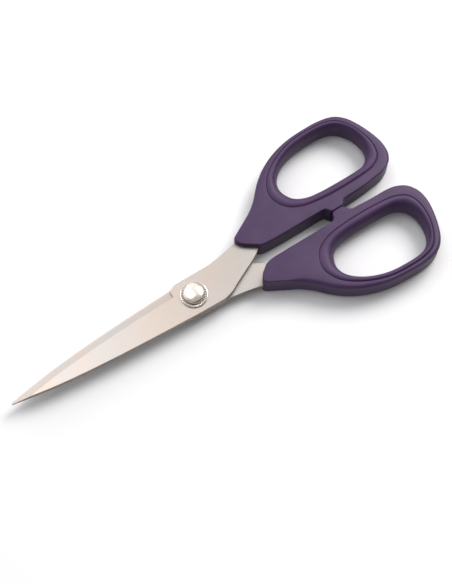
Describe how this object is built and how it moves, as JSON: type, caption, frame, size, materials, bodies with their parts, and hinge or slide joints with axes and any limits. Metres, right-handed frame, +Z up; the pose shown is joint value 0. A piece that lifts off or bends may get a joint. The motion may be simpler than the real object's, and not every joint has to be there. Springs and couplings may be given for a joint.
{
  "type": "craft scissors",
  "caption": "Straight-bladed craft and sewing scissors with two steel blades on a screw pivot and moulded handles with soft-lined finger holes.",
  "frame": {"origin": "on the pivot axis, in the plane that the closed scissors rest on, at the centre of the nut's flat underside", "axes": "+Z up along the pivot axis through the screw head; +X from the pivot towards the handles, so the blade tips are at -X; +Y towards the handle of the half whose blade lies on top"},
  "size_m": [0.165, 0.0692, 0.0094],
  "materials": {
    "blade_steel": "satin ground stainless steel",
    "handle_plastic": "muted aubergine, moulded, fine matte texture",
    "liner_elastomer": "soft-touch, same aubergine, slightly softer sheen",
    "screw_chrome": "polished",
    "washer_steel": "bright tumbled",
    "washer_polymer": "natural low-friction polymer",
    "nut_steel": "turned"
  },
  "bodies": {
    "bottom_half": {"bottom_blade": "blade_steel", "bottom_handle": "handle_plastic", "bottom_finger_liner": "liner_elastomer", "blade_washer": "washer_polymer"},
    "top_half": {"top_blade": "blade_steel", "top_handle": "handle_plastic", "top_finger_liner": "liner_elastomer", "pivot_screw": "screw_chrome", "serrated_washer": "washer_steel", "spring_washer": "washer_steel", "pivot_nut": "nut_steel"}
  },
  "joints": [
    {"name": "blade_pivot", "type": "hinge", "parent": "bottom_half", "child": "top_half", "pos_m": [0, 0, 0.0047], "axis": [0, 0, 1], "range_deg": [0, 140]}
  ]
}
